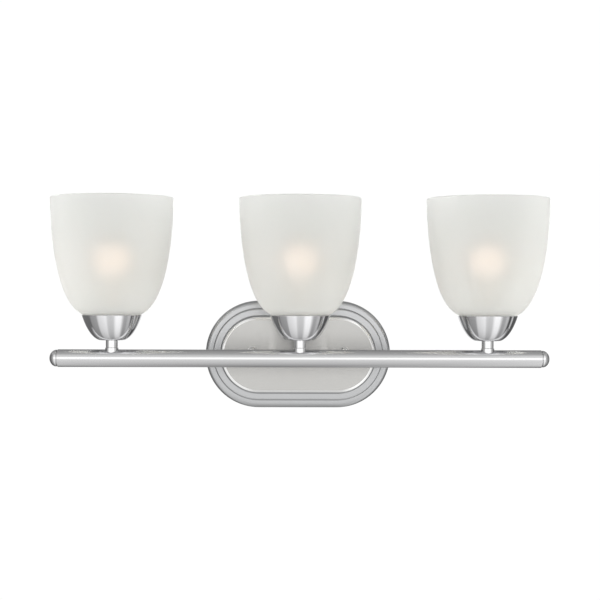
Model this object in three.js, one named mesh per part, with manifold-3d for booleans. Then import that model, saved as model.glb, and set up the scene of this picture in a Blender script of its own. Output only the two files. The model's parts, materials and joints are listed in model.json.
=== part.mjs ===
// A three-lamp vanity light bar. Millimetres, +X along the bar, -Y out of the wall, +Z up.
// The origin is the centre of the wall plate, on the wall, and the bar is level with it.
import * as THREE from "three";
import { mergeVertices } from "three/addons/utils/BufferGeometryUtils.js";
import Module from "manifold-3d";

const wasm = await Module();
wasm.setup();

// ---- Driving dimensions ----
const AIR = 0.2; // gap between pieces that bear on each other

// The bar and its ends.
const BAR = { reach: 100, radius: 9.7, wall: 1, length: 529, chamfer: 0.5 };
const END_CAP = { dome: 9, domeRadius: 9.2, groove: 0.7, grooveRadius: 8.3, spigot: 9 };

// Threaded tube ends, the nuts on them and the holes they go through.
const THREAD = { radius: 4.8, hole: 5.05 };
const NUT = { flats: 12, wideFlats: 14, thick: 2.6 };

// One lamp station. Heights are above the bar's axis.
const LAMP_PITCH = 205.6;
const STEM = { radius: 6.6, collarRadius: 7.3, collarTop: 11.6, low: 2.6, high: 25.9, bore: 3.3 };
const CUP = { floor: 20, floorRadius: 14.8, rim: 47.5, rimRadius: 32.8, wall: 0.9 };
const CUP_PULL = [[26.5, 24.9], [32.4, 46]]; // the two points that draw its flare outward
const SOCKET = { foot: 23.8, floor: 27.6, seat: 29.4, top: 58.5, radius: 19.5, bore: 14.7 };
const SOCKET_FOOT = { radius: 12.5, flare: 3.5, wireRoom: 10, plate: 1.6, screw: 2 };
const SHELL = { top: 54, outer: 14.5, inner: 14, lip: 9.5 };
const CONTACT = { rivetX: -5.5, rivetRadius: 1.4, width: 4.6, high: 31.5, sheet: 0.5 };
const SHADE = { rim: 175.7, rimRadius: 67.1, foot: 47.1, floor: 49.9, wall: 3, hole: 21.3 };
const SHADE_PULL = [[67, 65.9], [66.9, 171.9]]; // the two points that draw its bell outward
const RING = { inner: 19.9, outer: 27, skirt: 22.4, flange: 1.5, height: 5, gasket: 1.2 };
const LAMP = { tip: 31.7, capTop: 56, capRadius: 13.1, neck: 13.6, globe: 30, centre: 109 };
const LAMP_CONTACT = [[4, 0], [5, 0.8], [9.6, 2.6], [LAMP.capRadius, 4.4]]; // [radius, height above the tip]
const LAMP_WALL = { glass: 0.8, cap: 0.8, insulator: 5, exhaustTube: 3 };

// The wall plate: half the straight length, then [radius of each step, its height off the wall].
const PLATE = {
  half: 45.4,
  sheet: 0.9,
  front: 21.9,
  steps: [[62.4, 6.5], [53.4, 13], [44.8, 20.2]],
  panelRadius: 40.8,
};
const ARM = { x: 30, radius: 6.35, bore: 3.7, low: 16, high: 97 };
const FIXING = { x: 53.2, z: 4.2, studRadius: 2.1, studLength: 30.5, hole: 2.5 };
const CAP_NUT = { radius: 5.5, skirt: 3.6, height: 9, boreDepth: 7.8, washer: 0.9 };
const STRAP = { halfWidth: 9.5, thick: 1.6, slotFrom: 28, slotTo: 42, slotRadius: 2.4 };
const EARTH = { x: 10, z: 9, shank: 1.6, hole: 1.9, head: 3.6, headHeight: 4, wire: 0.8 };

// Internal wiring.
const LEAD = { radius: 1.5, core: 0.85 };
const CONNECTOR = { x: 15, y: -10, mouth: -14, tip: -36, boreEnd: -30, coreEnd: -22 };
const CONNECTOR_RADIUS = { mouth: 5.6, tip: 3.6, boreMouth: 4.4, boreEnd: 3 };

const SIDES = { wire: 8, small: 12, turned: 20, cup: 24, shade: 28, bar: 20, plate: 28 };
const CURVE_STEPS = { shade: 6, cup: 4, dome: 4, globe: 4, core: 6 };

// ---- Finishes ----
function finish(colour, roughness, metalness) {
  return new THREE.MeshStandardMaterial({ color: colour, roughness, metalness });
}
const satinNickel = finish(0xc9c8c4, 0.35, 1);
const brightNickel = finish(0xe2e2e0, 0.12, 1);
const zincSteel = finish(0xb9bcbe, 0.45, 1);
const brass = finish(0xc9a65a, 0.35, 1);
const copper = finish(0xb8703f, 0.4, 1);
const greenSteel = finish(0x3f7d4c, 0.5, 0.6);
const porcelain = finish(0xf2efe6, 0.25, 0);
const fibre = finish(0x2f2b28, 0.9, 0);
const leadSleeve = finish(0xe6e2d6, 0.6, 0);
const connectorPlastic = finish(0xd9883a, 0.5, 0);
const frostedGlass = finish(0xe9ece6, 0.55, 0);
const lampGlass = finish(0xfff4e4, 0.4, 0);

// ---- Solids ----
function solid(geometry) {
  const bare = geometry.index ? geometry.toNonIndexed() : geometry.clone();
  bare.deleteAttribute("normal");
  bare.deleteAttribute("uv");
  const merged = mergeVertices(bare, 1e-4);
  const vertProperties = merged.attributes.position.array;
  const triVerts = new Uint32Array(merged.index.array);
  return new wasm.Manifold(new wasm.Mesh({ numProp: 3, vertProperties, triVerts }));
}

function geometryOf(manifold) {
  const mesh = manifold.getMesh();
  const geometry = new THREE.BufferGeometry();
  geometry.setAttribute("position", new THREE.BufferAttribute(mesh.vertProperties, 3));
  geometry.setIndex(new THREE.BufferAttribute(mesh.triVerts, 1));
  geometry.computeVertexNormals();
  return geometry;
}

function join(...geometries) {
  return geometries.map(solid).reduce((sum, piece) => sum.add(piece));
}

function cut(blank, tools) {
  const whole = blank.isBufferGeometry ? solid(blank) : blank;
  return tools.reduce((rest, tool) => rest.subtract(solid(tool)), whole);
}

// A body of revolution about Z from [radius, z] points that run anticlockwise, +Z up.
function lathe(profile, sides) {
  const points = profile.map(([radius, z]) => new THREE.Vector2(radius, z));
  return new THREE.LatheGeometry(points, sides).rotateX(Math.PI / 2);
}

function turnedRing(profile, sides) {
  return lathe([...profile, profile[0]], sides);
}

function tube(inner, outer, low, high, sides) {
  return turnedRing([[inner, low], [outer, low], [outer, high], [inner, high]], sides);
}

function rod(radius, low, high, sides) {
  return lathe([[0, low], [radius, low], [radius, high], [0, high]], sides);
}

// The end points of an ellipse's quarter: from [radius, base] up to the axis at base + height.
function dome(radius, base, height, steps) {
  const points = [];
  for (let i = 0; i <= steps; i += 1) {
    const turn = (Math.PI / 2) * (i / steps);
    points.push([i === steps ? 0 : radius * Math.cos(turn), base + height * Math.sin(turn)]);
  }
  return points;
}

// A sheet's two faces along a cubic curve: [outer points, inner points], both in the curve's order.
function skin(controls, thickness, steps) {
  const handles = controls.map(([radius, z]) => new THREE.Vector2(radius, z));
  const curve = new THREE.CubicBezierCurve(...handles);
  const outer = [];
  const inner = [];
  for (let i = 0; i <= steps; i += 1) {
    const point = curve.getPoint(i / steps);
    const along = curve.getTangent(i / steps);
    outer.push([point.x, point.y]);
    inner.push([point.x + along.y * thickness, point.y - along.x * thickness]);
  }
  return [outer, inner];
}

function polygon(radius, sides) {
  const points = [];
  for (let i = 0; i < sides; i += 1) {
    const turn = (2 * Math.PI * i) / sides;
    points.push(new THREE.Vector2(radius * Math.cos(turn), radius * Math.sin(turn)));
  }
  return points;
}

function slab(outline, low, high, curveSegments) {
  const options = { depth: high - low, bevelEnabled: false, curveSegments };
  return new THREE.ExtrudeGeometry(outline, options).translate(0, 0, low);
}

// A hexagon nut about Z, with two corners on the X axis.
function hexNut(flats, low) {
  const outline = new THREE.Shape(polygon(flats / Math.sqrt(3), 6));
  outline.holes.push(new THREE.Path(polygon(THREAD.hole, SIDES.small)));
  return slab(outline, low, low + NUT.thick);
}

function wire(points, radius, steps) {
  const path = new THREE.CatmullRomCurve3(points.map(([x, y, z]) => new THREE.Vector3(x, y, z)));
  const section = new THREE.Shape(polygon(radius, SIDES.wire));
  return new THREE.ExtrudeGeometry(section, { steps, bevelEnabled: false, extrudePath: path });
}

// Turns a piece made about Z to point out of the wall: its z becomes its distance from the wall.
function outOfWall(geometry) {
  return geometry.rotateX(Math.PI / 2);
}

function alongBar(geometry) {
  return geometry.rotateY(Math.PI / 2);
}

// ---- The tree ----
const light = new THREE.Group();

function place(parent, name, shape, material) {
  const mesh = new THREE.Mesh(shape.isBufferGeometry ? shape : geometryOf(shape), material);
  mesh.name = name;
  parent.add(mesh);
  return mesh;
}

const SIDE = [["left", -1], ["right", 1]];

// ---- Wall plate and strap ----

// A racetrack-shaped body with [radius, height] steps, the first on the wall and the last on top.
function racetrack(profile) {
  const full = [[0, profile[0][1]], ...profile, [0, profile.at(-1)[1]]];
  const half = PLATE.half;
  const ends = [-half, half].map((x) => outOfWall(lathe(full, SIDES.plate)).translate(x, 0, 0));
  const section = new THREE.Shape();
  profile.forEach(([z, height], i) => (i ? section.lineTo(z, height) : section.moveTo(z, height)));
  [...profile].reverse().forEach(([z, height]) => section.lineTo(-z, height));
  section.closePath();
  const middle = new THREE.ExtrudeGeometry(section, { depth: 2 * half, bevelEnabled: false });
  const up = new THREE.Vector3(0, 0, 1);
  const outward = new THREE.Vector3(0, -1, 0);
  const along = new THREE.Vector3(1, 0, 0);
  middle.applyMatrix4(new THREE.Matrix4().makeBasis(up, outward, along)).translate(-half, 0, 0);
  return join(...ends, middle);
}

// The steps of the plate with a skin taken off outside: none for its face, one sheet for its back.
function plateSteps(skinOff, foot) {
  const levels = [];
  let height = foot;
  for (const [radius, top] of PLATE.steps) {
    levels.push([radius - skinOff, height], [radius - skinOff, top - skinOff]);
    height = top - skinOff;
  }
  levels.push([PLATE.panelRadius - skinOff, PLATE.front - skinOff]);
  return levels;
}

function holeThrough(x, z, radius) {
  return outOfWall(rod(radius, -1, PLATE.front + 1, SIDES.small)).translate(x, 0, z);
}

function backplate() {
  const pan = racetrack(plateSteps(0, 0)).subtract(racetrack(plateSteps(PLATE.sheet, -1)));
  const holes = [];
  for (const [, side] of SIDE) {
    holes.push(holeThrough(side * ARM.x, 0, THREAD.hole));
    holes.push(holeThrough(side * FIXING.x, FIXING.z, FIXING.hole));
  }
  return cut(pan, holes);
}

function mountingStrap() {
  const { x, z } = FIXING;
  const { halfWidth, thick, slotFrom, slotTo, slotRadius } = STRAP;
  const quarter = Math.PI / 2;
  const outline = new THREE.Shape();
  outline.absarc(x, z, halfWidth, -quarter, quarter);
  outline.absarc(-x, z, halfWidth, quarter, 3 * quarter);
  outline.closePath();
  for (const [, side] of SIDE) {
    const slot = new THREE.Path();
    const [near, far] = side > 0 ? [slotFrom, slotTo] : [-slotTo, -slotFrom];
    slot.absarc(far, z, slotRadius, -quarter, quarter);
    slot.absarc(near, z, slotRadius, quarter, 3 * quarter);
    const stud = new THREE.Path().absarc(side * x, z, FIXING.hole, 0, 4 * quarter);
    outline.holes.push(slot.closePath(), stud);
  }
  outline.holes.push(new THREE.Path().absarc(EARTH.x, EARTH.z, EARTH.hole, 0, 4 * quarter));
  return outOfWall(slab(outline, 0, thick, 6));
}

function capNut(base) {
  const { radius, skirt, height, boreDepth } = CAP_NUT;
  const bore = [[0, base + boreDepth], [FIXING.hole, base + boreDepth], [FIXING.hole, base]];
  const flank = [[radius - 0.4, base], [radius, base + 0.4]];
  const crown = dome(radius, base + skirt, height - skirt, CURVE_STEPS.dome);
  return outOfWall(lathe([...bore, ...flank, ...crown], SIDES.turned));
}

place(light, "backplate", backplate(), satinNickel);
place(light, "mounting_strap", mountingStrap(), zincSteel);

const washerFoot = PLATE.front + AIR / 2;
const nutFoot = washerFoot + CAP_NUT.washer + AIR / 2;
for (const [sideName, side] of SIDE) {
  const at = new THREE.Group();
  at.position.set(side * FIXING.x, 0, FIXING.z);
  light.add(at);
  const stud = outOfWall(rod(FIXING.studRadius, AIR, FIXING.studLength, SIDES.small));
  const washer = tube(FIXING.hole, CAP_NUT.radius, washerFoot, nutFoot - AIR / 2, SIDES.turned);
  place(at, `mounting_stud_${sideName}`, stud, zincSteel);
  place(at, `nut_washer_${sideName}`, outOfWall(washer), fibre);
  place(at, `cap_nut_${sideName}`, capNut(nutFoot), brightNickel);
}

function earthScrew() {
  const { shank, head, headHeight } = EARTH;
  const seat = STRAP.thick + AIR;
  const below = [[0, AIR], [shank, AIR], [shank, seat]];
  const above = [[head, seat], [head, headHeight], [0, headHeight]];
  return outOfWall(lathe([...below, ...above], SIDES.small)).translate(EARTH.x, 0, EARTH.z);
}

const EARTH_ROUTE = [
  [14.8, -2.9, 9], [19, -4.2, 11], [22, -9, 15],
  [19.5, -16, 18.5], [12, -19.6, 19], [6, -20, 19],
];
const EARTH_STEPS = 16;
place(light, "ground_screw", earthScrew(), greenSteel);
place(light, "ground_wire", wire(EARTH_ROUTE, EARTH.wire, EARTH_STEPS), copper);

// ---- Arms ----

// The bar as a tool, a little large, across the top of a piece made about Z.
function barTool(height, clearance) {
  return alongBar(rod(BAR.radius + clearance, -20, 20, SIDES.bar)).translate(0, 0, height);
}

function arm() {
  const sleeve = rod(ARM.radius, PLATE.front + AIR, BAR.reach, SIDES.turned);
  const thread = rod(THREAD.radius, ARM.low, ARM.high, SIDES.turned);
  const bore = rod(ARM.bore, ARM.low - 1, ARM.high + 1, SIDES.small);
  const body = cut(sleeve, [barTool(BAR.reach, AIR)]).add(solid(thread));
  return outOfWall(geometryOf(cut(body, [bore])));
}

const nutInBar = Math.sqrt((BAR.radius - BAR.wall) ** 2 - (NUT.flats / 2) ** 2) - AIR;
for (const [sideName, side] of SIDE) {
  const at = new THREE.Group();
  at.position.set(side * ARM.x, 0, 0);
  light.add(at);
  const plateNutLow = PLATE.front - PLATE.sheet - AIR - NUT.thick;
  const barNut = hexNut(NUT.flats, BAR.reach - nutInBar);
  place(at, `arm_${sideName}`, arm(), satinNickel);
  place(at, `arm_plate_nut_${sideName}`, outOfWall(hexNut(NUT.wideFlats, plateNutLow)), zincSteel);
  place(at, `arm_bar_nut_${sideName}`, outOfWall(barNut), zincSteel);
}

// ---- Bar ----
function barTube() {
  const end = BAR.length / 2;
  const inner = BAR.radius - BAR.wall;
  const lip = BAR.radius - BAR.chamfer;
  const wall = [
    [inner, -end],
    [lip, -end],
    [BAR.radius, -end + BAR.chamfer],
    [BAR.radius, end - BAR.chamfer],
    [lip, end],
    [inner, end],
  ];
  const holes = [-LAMP_PITCH, 0, LAMP_PITCH].map((x) => {
    return rod(THREAD.hole, 0, BAR.radius + 1, SIDES.small).translate(x, 0, 0);
  });
  for (const [, side] of SIDE) {
    const behind = outOfWall(rod(THREAD.hole, -BAR.radius - 1, 0, SIDES.small));
    holes.push(behind.translate(side * ARM.x, 0, 0));
  }
  return cut(alongBar(turnedRing(wall, SIDES.bar)), holes);
}

function endCap() {
  const { dome: height, domeRadius, groove, grooveRadius, spigot } = END_CAP;
  const plug = BAR.radius - BAR.wall - AIR;
  const stalk = [[0, -spigot], [plug, -spigot], [plug, 0]];
  const waist = [[grooveRadius, 0], [grooveRadius, groove]];
  const crown = dome(domeRadius, groove, height - groove, CURVE_STEPS.dome);
  return alongBar(lathe([...stalk, ...waist, ...crown], SIDES.bar));
}

const bar = new THREE.Group();
bar.position.y = -BAR.reach;
light.add(bar);
place(bar, "bar_tube", barTube(), satinNickel);
for (const [sideName, side] of SIDE) {
  const cap = place(bar, `end_cap_${sideName}`, endCap(), satinNickel);
  cap.position.x = side * (BAR.length / 2);
  cap.rotation.z = side < 0 ? Math.PI : 0;
}

// ---- Lamp stations, each about its own upright axis, with the bar's axis at height 0 ----
function stem() {
  const { radius, collarRadius, collarTop, low, high, bore } = STEM;
  const top = CUP.floor - AIR;
  const collar = [[0, 0], [collarRadius, 0], [collarRadius, collarTop - 0.5]];
  const shaft = [[radius, collarTop], [radius, top], [0, top]];
  const sleeve = cut(lathe([...collar, ...shaft], SIDES.turned), [barTool(0, AIR)]);
  const thread = solid(rod(THREAD.radius, low, high, SIDES.turned));
  return cut(sleeve.add(thread), [rod(bore, low - 1, high + 1, SIDES.small)]);
}

function cup() {
  const { floor, floorRadius, rim, rimRadius, wall } = CUP;
  const flare = [[floorRadius, floor], ...CUP_PULL, [rimRadius, rim]];
  const [outer, inner] = skin(flare, -wall, CURVE_STEPS.cup);
  const back = inner.slice(1).reverse();
  const floorTop = [[floorRadius - wall, floor + wall], [THREAD.hole, floor + wall]];
  return turnedRing([[THREAD.hole, floor], ...outer, ...back, ...floorTop], SIDES.cup);
}

function socketBody() {
  const { foot, floor, seat, top, radius, bore } = SOCKET;
  const { radius: footRadius, flare, wireRoom, plate, screw } = SOCKET_FOOT;
  const body = turnedRing([
    [THREAD.hole, foot],
    [footRadius, foot],
    [footRadius, floor],
    [radius, floor + flare],
    [radius, top],
    [bore, top],
    [bore, seat],
    [screw, seat],
    [screw, floor],
    [wireRoom, floor],
    [wireRoom, foot + plate],
    [THREAD.hole, foot + plate],
  ], SIDES.turned);
  const rivetHole = rod(CONTACT.rivetRadius + AIR, floor - 1, seat + 1, SIDES.small);
  return cut(body, [rivetHole.translate(CONTACT.rivetX, 0, 0)]);
}

function socketShell() {
  const low = SOCKET.seat + AIR;
  const { top, outer, inner, lip } = SHELL;
  const sheet = outer - inner;
  const outside = [[lip, low], [outer, low], [outer, top]];
  const inside = [[inner, top], [inner, low + sheet], [lip, low + sheet]];
  return turnedRing([...outside, ...inside], SIDES.turned);
}

// A leaf spring that rises from its rivet to under the lamp's tip.
function socketContact() {
  const { rivetX, rivetRadius, width, high, sheet } = CONTACT;
  const low = SOCKET.seat + AIR;
  const leaf = new THREE.Shape();
  const lower = [[rivetX - 2, low], [rivetX + 2, low], [-1, high - sheet], [2.5, high - sheet]];
  lower.forEach(([x, z], i) => (i ? leaf.lineTo(x, z) : leaf.moveTo(x, z)));
  [...lower].reverse().forEach(([x, z]) => leaf.lineTo(x, z + sheet));
  leaf.closePath();
  const strip = outOfWall(slab(leaf, -width / 2, width / 2));
  const rivet = rod(rivetRadius, SOCKET.floor - 0.6, low + sheet / 2, SIDES.small);
  return join(strip, rivet.translate(rivetX, 0, 0));
}

function shade() {
  const { rim, rimRadius, foot, floor, wall, hole } = SHADE;
  const bell = [[32.9, 48.3], ...SHADE_PULL, [rimRadius, rim - 1]];
  const [outer, inner] = skin(bell, -wall, CURVE_STEPS.shade);
  const underside = [[hole, foot], [30.2, foot], [31.5, 47.8]];
  const lip = [[rimRadius - 0.9, rim], [rimRadius - wall + 0.9, rim]];
  const upside = [[28.6, floor], [hole, floor]];
  return turnedRing([...underside, ...outer, ...lip, ...inner.reverse(), ...upside], SIDES.shade);
}

function retainingRing(low) {
  const { inner, outer, skirt, flange, height } = RING;
  const flat = low + flange;
  const top = low + height;
  const foot = [[inner, low], [outer, low], [outer, flat]];
  return turnedRing([...foot, [skirt, flat], [skirt, top], [inner, top]], SIDES.turned);
}

function lampCap() {
  const { tip, capTop, capRadius } = LAMP;
  const contact = LAMP_CONTACT.map(([radius, height]) => [radius, tip + height]);
  const inner = capRadius - LAMP_WALL.cap;
  const floor = tip + LAMP_WALL.insulator;
  const tube = LAMP_WALL.exhaustTube;
  const hollow = [[inner, capTop], [inner, floor + 1], [inner - 3, floor], [tube, floor]];
  const post = [[tube, capTop - 4], [tube - 1, capTop - 3], [0, capTop - 3]];
  return lathe([[0, tip], ...contact, [capRadius, capTop], ...hollow, ...post], SIDES.turned);
}

// A thin bulb, open at its neck into the cap.
function lampGlobe() {
  const { capTop, neck, globe, centre } = LAMP;
  const inner = globe - LAMP_WALL.glass;
  const low = capTop + AIR;
  const flank = [[neck, low], [neck + 2, low + 22], [globe, centre - 26], [globe, centre]];
  const [outside, inside] = skin(flank, -LAMP_WALL.glass, CURVE_STEPS.globe);
  const crown = dome(globe, centre, globe, CURVE_STEPS.dome);
  const hollow = dome(inner, centre, inner, CURVE_STEPS.dome);
  inside[0] = [neck - LAMP_WALL.glass, low];
  const profile = [...hollow.reverse(), ...inside.reverse().slice(1), ...outside, ...crown.slice(1)];
  return lathe(profile, SIDES.turned);
}

const gasketLow = SHADE.floor + AIR / 2;
const ringLow = gasketLow + RING.gasket + AIR / 2;
const STATIONS = [["left", -LAMP_PITCH], ["center", 0], ["right", LAMP_PITCH]];
for (const [station, x] of STATIONS) {
  const at = new THREE.Group();
  at.position.set(x, -BAR.reach, 0);
  light.add(at);
  const gasket = tube(RING.inner, RING.outer, gasketLow, ringLow - AIR / 2, SIDES.turned);
  const cupNut = hexNut(NUT.flats, CUP.floor + CUP.wall + AIR / 2);
  place(at, `stem_${station}`, stem(), brightNickel);
  place(at, `stem_bar_nut_${station}`, hexNut(NUT.flats, nutInBar - NUT.thick), zincSteel);
  place(at, `cup_${station}`, cup(), satinNickel);
  place(at, `cup_locknut_${station}`, cupNut, zincSteel);
  place(at, `socket_body_${station}`, socketBody(), porcelain);
  place(at, `socket_shell_${station}`, socketShell(), brass);
  place(at, `socket_contact_${station}`, socketContact(), brass);
  place(at, `shade_${station}`, shade(), frostedGlass);
  place(at, `ring_gasket_${station}`, gasket, fibre);
  place(at, `retaining_ring_${station}`, retainingRing(ringLow), zincSteel);
  place(at, `lamp_cap_${station}`, lampCap(), brass);
  place(at, `lamp_globe_${station}`, lampGlobe(), lampGlass);
}

// ---- Internal leads: socket, stem, bar, arm, wall plate; then a core to each connector ----
const inBar = -BAR.reach - 1;
const atLamp = LAMP_PITCH;
const LEADS = {
  left: {
    steps: 40,
    sleeve: [
      [-atLamp, -100, 27], [-atLamp, -100, 18], [-atLamp, -100, 7],
      [-atLamp + 0.6, -100, 2.4], [-atLamp + 3, -100.5, -0.6], [-atLamp + 8, inBar, -1.5],
      [-120, inBar, -1.5], [-45, inBar, -0.5], [-34.5, inBar, 1.6],
      [-31.2, -99.6, 1.75], [-30, -96, 1.75], [-30, -60, 1.75], [-30, -16, 1.75],
      [-29.8, -11, 1.4], [-28.4, -7.6, -1], [-25.6, -6.2, -4.6],
    ],
    line: [[-25.6, -6.2, -4.6], [-21, -6.2, -6.6], [-17, -7, -9], [-15, -7.9, -14]],
    neutral: [[-25.6, -6.2, -4.6], [-16, -5.6, -4.4], [0, -5.6, -4], [10.5, -6.2, -6.5], [15, -7.9, -14]],
  },
  center: {
    steps: 26,
    sleeve: [
      [0, -100, 27], [0, -100, 18], [0, -100, 7], [-0.6, -100, 2.4], [-3, -100.5, -0.6],
      [-8, inBar, -1.7], [-18, inBar, -1.75], [-25.5, inBar, -1.75], [-28.8, -99.6, -1.75],
      [-30, -96, -1.75], [-30, -60, -1.75], [-30, -16, -1.75], [-29, -12.6, -2.6], [-25.6, -11, -5.2],
    ],
    line: [[-25.6, -11, -5.2], [-20.5, -11, -7.4], [-16.6, -10.6, -10], [-15, -10, -14]],
    neutral: [[-25.6, -11, -5.2], [-15, -11, -5.6], [0, -11, -5], [11, -10.6, -7.5], [15, -10, -14]],
  },
  right: {
    steps: 40,
    sleeve: [
      [atLamp, -100, 27], [atLamp, -100, 18], [atLamp, -100, 7],
      [atLamp - 0.6, -100, 2.4], [atLamp - 3, -100.5, -0.6], [atLamp - 8, inBar, -1.5],
      [120, inBar, -1.5], [45, inBar, -0.6], [34.5, inBar, 0],
      [31.2, -99.6, 0], [30, -96, 0], [30, -60, 0], [30, -16, 0],
      [29.8, -13.6, -0.6], [28.8, -12.8, -3], [26.8, -12.8, -5.6],
    ],
    line: [[26.8, -12.8, -5.6], [15, -14.2, -5], [0, -14.6, -4.6], [-10.5, -13.8, -7], [-15, -12.1, -14]],
    neutral: [[26.8, -12.8, -5.6], [21, -13.4, -8], [17, -12.8, -10.4], [15, -12.1, -14]],
  },
};

function intoConnector(route) {
  const [x, y] = route.at(-1);
  return [...route, [x, y, CONNECTOR.coreEnd]];
}

for (const [name, { steps, sleeve, line, neutral }] of Object.entries(LEADS)) {
  const cores = [line, neutral].map((route) => wire(intoConnector(route), LEAD.core, CURVE_STEPS.core));
  place(light, `lead_${name}`, join(wire(sleeve, LEAD.radius, steps), ...cores), leadSleeve);
}

function connector() {
  const { mouth, tip, boreEnd } = CONNECTOR;
  const radius = CONNECTOR_RADIUS;
  return lathe([
    [0, tip],
    [radius.tip, tip],
    [radius.mouth, mouth],
    [radius.boreMouth, mouth],
    [radius.boreEnd, boreEnd],
    [0, boreEnd],
  ], SIDES.small);
}

for (const [name, side] of [["line", -1], ["neutral", 1]]) {
  const cap = place(light, `wire_connector_${name}`, connector(), connectorPlastic);
  cap.position.set(side * CONNECTOR.x, CONNECTOR.y, 0);
}

export default light;
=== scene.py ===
import json
import math

import bmesh
import bpy
from mathutils import Matrix, Vector

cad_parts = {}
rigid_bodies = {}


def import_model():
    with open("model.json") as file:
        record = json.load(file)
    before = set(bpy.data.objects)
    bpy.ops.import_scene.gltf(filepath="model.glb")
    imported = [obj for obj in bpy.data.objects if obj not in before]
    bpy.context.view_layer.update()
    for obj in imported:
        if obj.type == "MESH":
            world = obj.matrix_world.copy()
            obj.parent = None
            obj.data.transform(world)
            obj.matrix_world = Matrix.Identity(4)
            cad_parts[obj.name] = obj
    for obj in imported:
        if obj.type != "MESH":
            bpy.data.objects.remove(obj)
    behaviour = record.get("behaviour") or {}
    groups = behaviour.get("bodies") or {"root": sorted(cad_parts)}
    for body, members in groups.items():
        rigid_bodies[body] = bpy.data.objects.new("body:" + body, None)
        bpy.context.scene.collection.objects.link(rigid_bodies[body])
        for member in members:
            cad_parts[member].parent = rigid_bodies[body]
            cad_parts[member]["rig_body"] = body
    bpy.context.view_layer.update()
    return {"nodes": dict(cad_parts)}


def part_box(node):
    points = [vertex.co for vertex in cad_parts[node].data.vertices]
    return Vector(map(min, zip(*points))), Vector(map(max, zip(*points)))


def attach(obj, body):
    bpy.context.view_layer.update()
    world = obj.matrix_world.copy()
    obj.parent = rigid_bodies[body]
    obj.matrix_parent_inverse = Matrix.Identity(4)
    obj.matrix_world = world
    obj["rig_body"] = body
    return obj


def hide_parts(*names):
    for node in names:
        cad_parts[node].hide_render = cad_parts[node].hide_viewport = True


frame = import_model()
scene = bpy.context.scene
MM = 0.001
TAU = 2 * math.pi


# ---- Camera, colour and stage ----
def make_camera():
    data = bpy.data.cameras.new("camera")
    data.sensor_width = 36
    data.lens = 77.9
    data.shift_x = 0.0252
    data.clip_start = 0.05
    data.clip_end = 30
    camera = bpy.data.objects.new("camera", data)
    camera.location = (-0.034, -1.520, 0.0776)
    aim = Vector((-0.0167, -0.100, 0.0641)) - camera.location
    level = aim.to_track_quat("-Z", "Y").to_matrix()
    camera.rotation_euler = (level @ Matrix.Rotation(math.radians(0.16), 3, "Z")).to_euler()
    scene.collection.objects.link(camera)
    scene.camera = camera


make_camera()
scene.view_settings.view_transform = "Standard"
scene.view_settings.look = "None"


# ---- Node graphs ----
class Graph:
    """Short names for building a node tree."""

    def __init__(self, tree):
        self.tree = tree

    def node(self, kind, **settings):
        made = self.tree.nodes.new(kind)
        for key, value in settings.items():
            setattr(made, key, value)
        return made

    def link(self, source, target):
        self.tree.links.new(source, target)

    def feed(self, socket, value):
        if isinstance(value, bpy.types.NodeSocket):
            self.link(value, socket)
        else:
            socket.default_value = value

    def math(self, operation, a, b=0.0):
        made = self.node("ShaderNodeMath", operation=operation)
        self.feed(made.inputs[0], a)
        self.feed(made.inputs[1], b)
        return made.outputs[0]

    def span(self, value, low, high, to_low, to_high, **settings):
        made = self.node("ShaderNodeMapRange", **settings)
        for socket, number in zip(made.inputs, (value, low, high, to_low, to_high)):
            self.feed(socket, number)
        return made.outputs[0]

    def smooth(self, value, low, high):
        return self.span(value, low, high, 0.0, 1.0, interpolation_type="SMOOTHSTEP")

    def ramp(self, value, stops):
        """A run of greys from [position, level] stops."""
        made = self.node("ShaderNodeValToRGB")
        elements = made.color_ramp.elements
        while len(elements) < len(stops):
            elements.new(0.5)
        for element, (position, grey) in zip(elements, stops):
            element.position = position
            element.color = (grey, grey, grey, 1)
        self.feed(made.inputs[0], value)
        return made.outputs[0]

    def mix(self, factor, a, b, blend="MIX"):
        made = self.node("ShaderNodeMix", data_type="RGBA", blend_type=blend)
        self.feed(made.inputs[0], factor)
        for socket, value in ((made.inputs[6], a), (made.inputs[7], b)):
            if isinstance(value, bpy.types.NodeSocket):
                self.link(value, socket)
            else:
                socket.default_value = (*value, 1)
        return made.outputs[2]

    def split(self, vector):
        made = self.node("ShaderNodeSeparateXYZ")
        self.link(vector, made.inputs[0])
        return made.outputs

    def join(self, x, y, z):
        made = self.node("ShaderNodeCombineXYZ")
        for socket, value in zip(made.inputs, (x, y, z)):
            self.feed(socket, value)
        return made.outputs[0]

    def noise(self, vector, scale, detail, roughness):
        made = self.node("ShaderNodeTexNoise")
        self.link(vector, made.inputs["Vector"])
        made.inputs["Scale"].default_value = scale
        made.inputs["Detail"].default_value = detail
        made.inputs["Roughness"].default_value = roughness
        return made.outputs[0]

    def bump(self, height, strength, distance):
        made = self.node("ShaderNodeBump")
        made.inputs["Strength"].default_value = strength
        made.inputs["Distance"].default_value = distance
        self.link(height, made.inputs["Height"])
        return made.outputs[0]


# ---- Studio: what reflections, other light and the camera see round the light bar ----
REAR_PATCH = (0.95, 0.95, 0.95)
CEILING = (0.64, 0.64, 0.64)
BAND = (1.25, 1.25, 1.25)
STRIP = (1.9, 1.9, 1.9)
SOFT_AHEAD = (0.44, 0.43, 0.42)
SOFT_SIDES = (1.38, 1.38, 1.36)
SOFT_ABOVE = (0.55, 0.55, 0.54)
SOFT_BELOW = (2.0, 1.99, 1.96)


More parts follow.
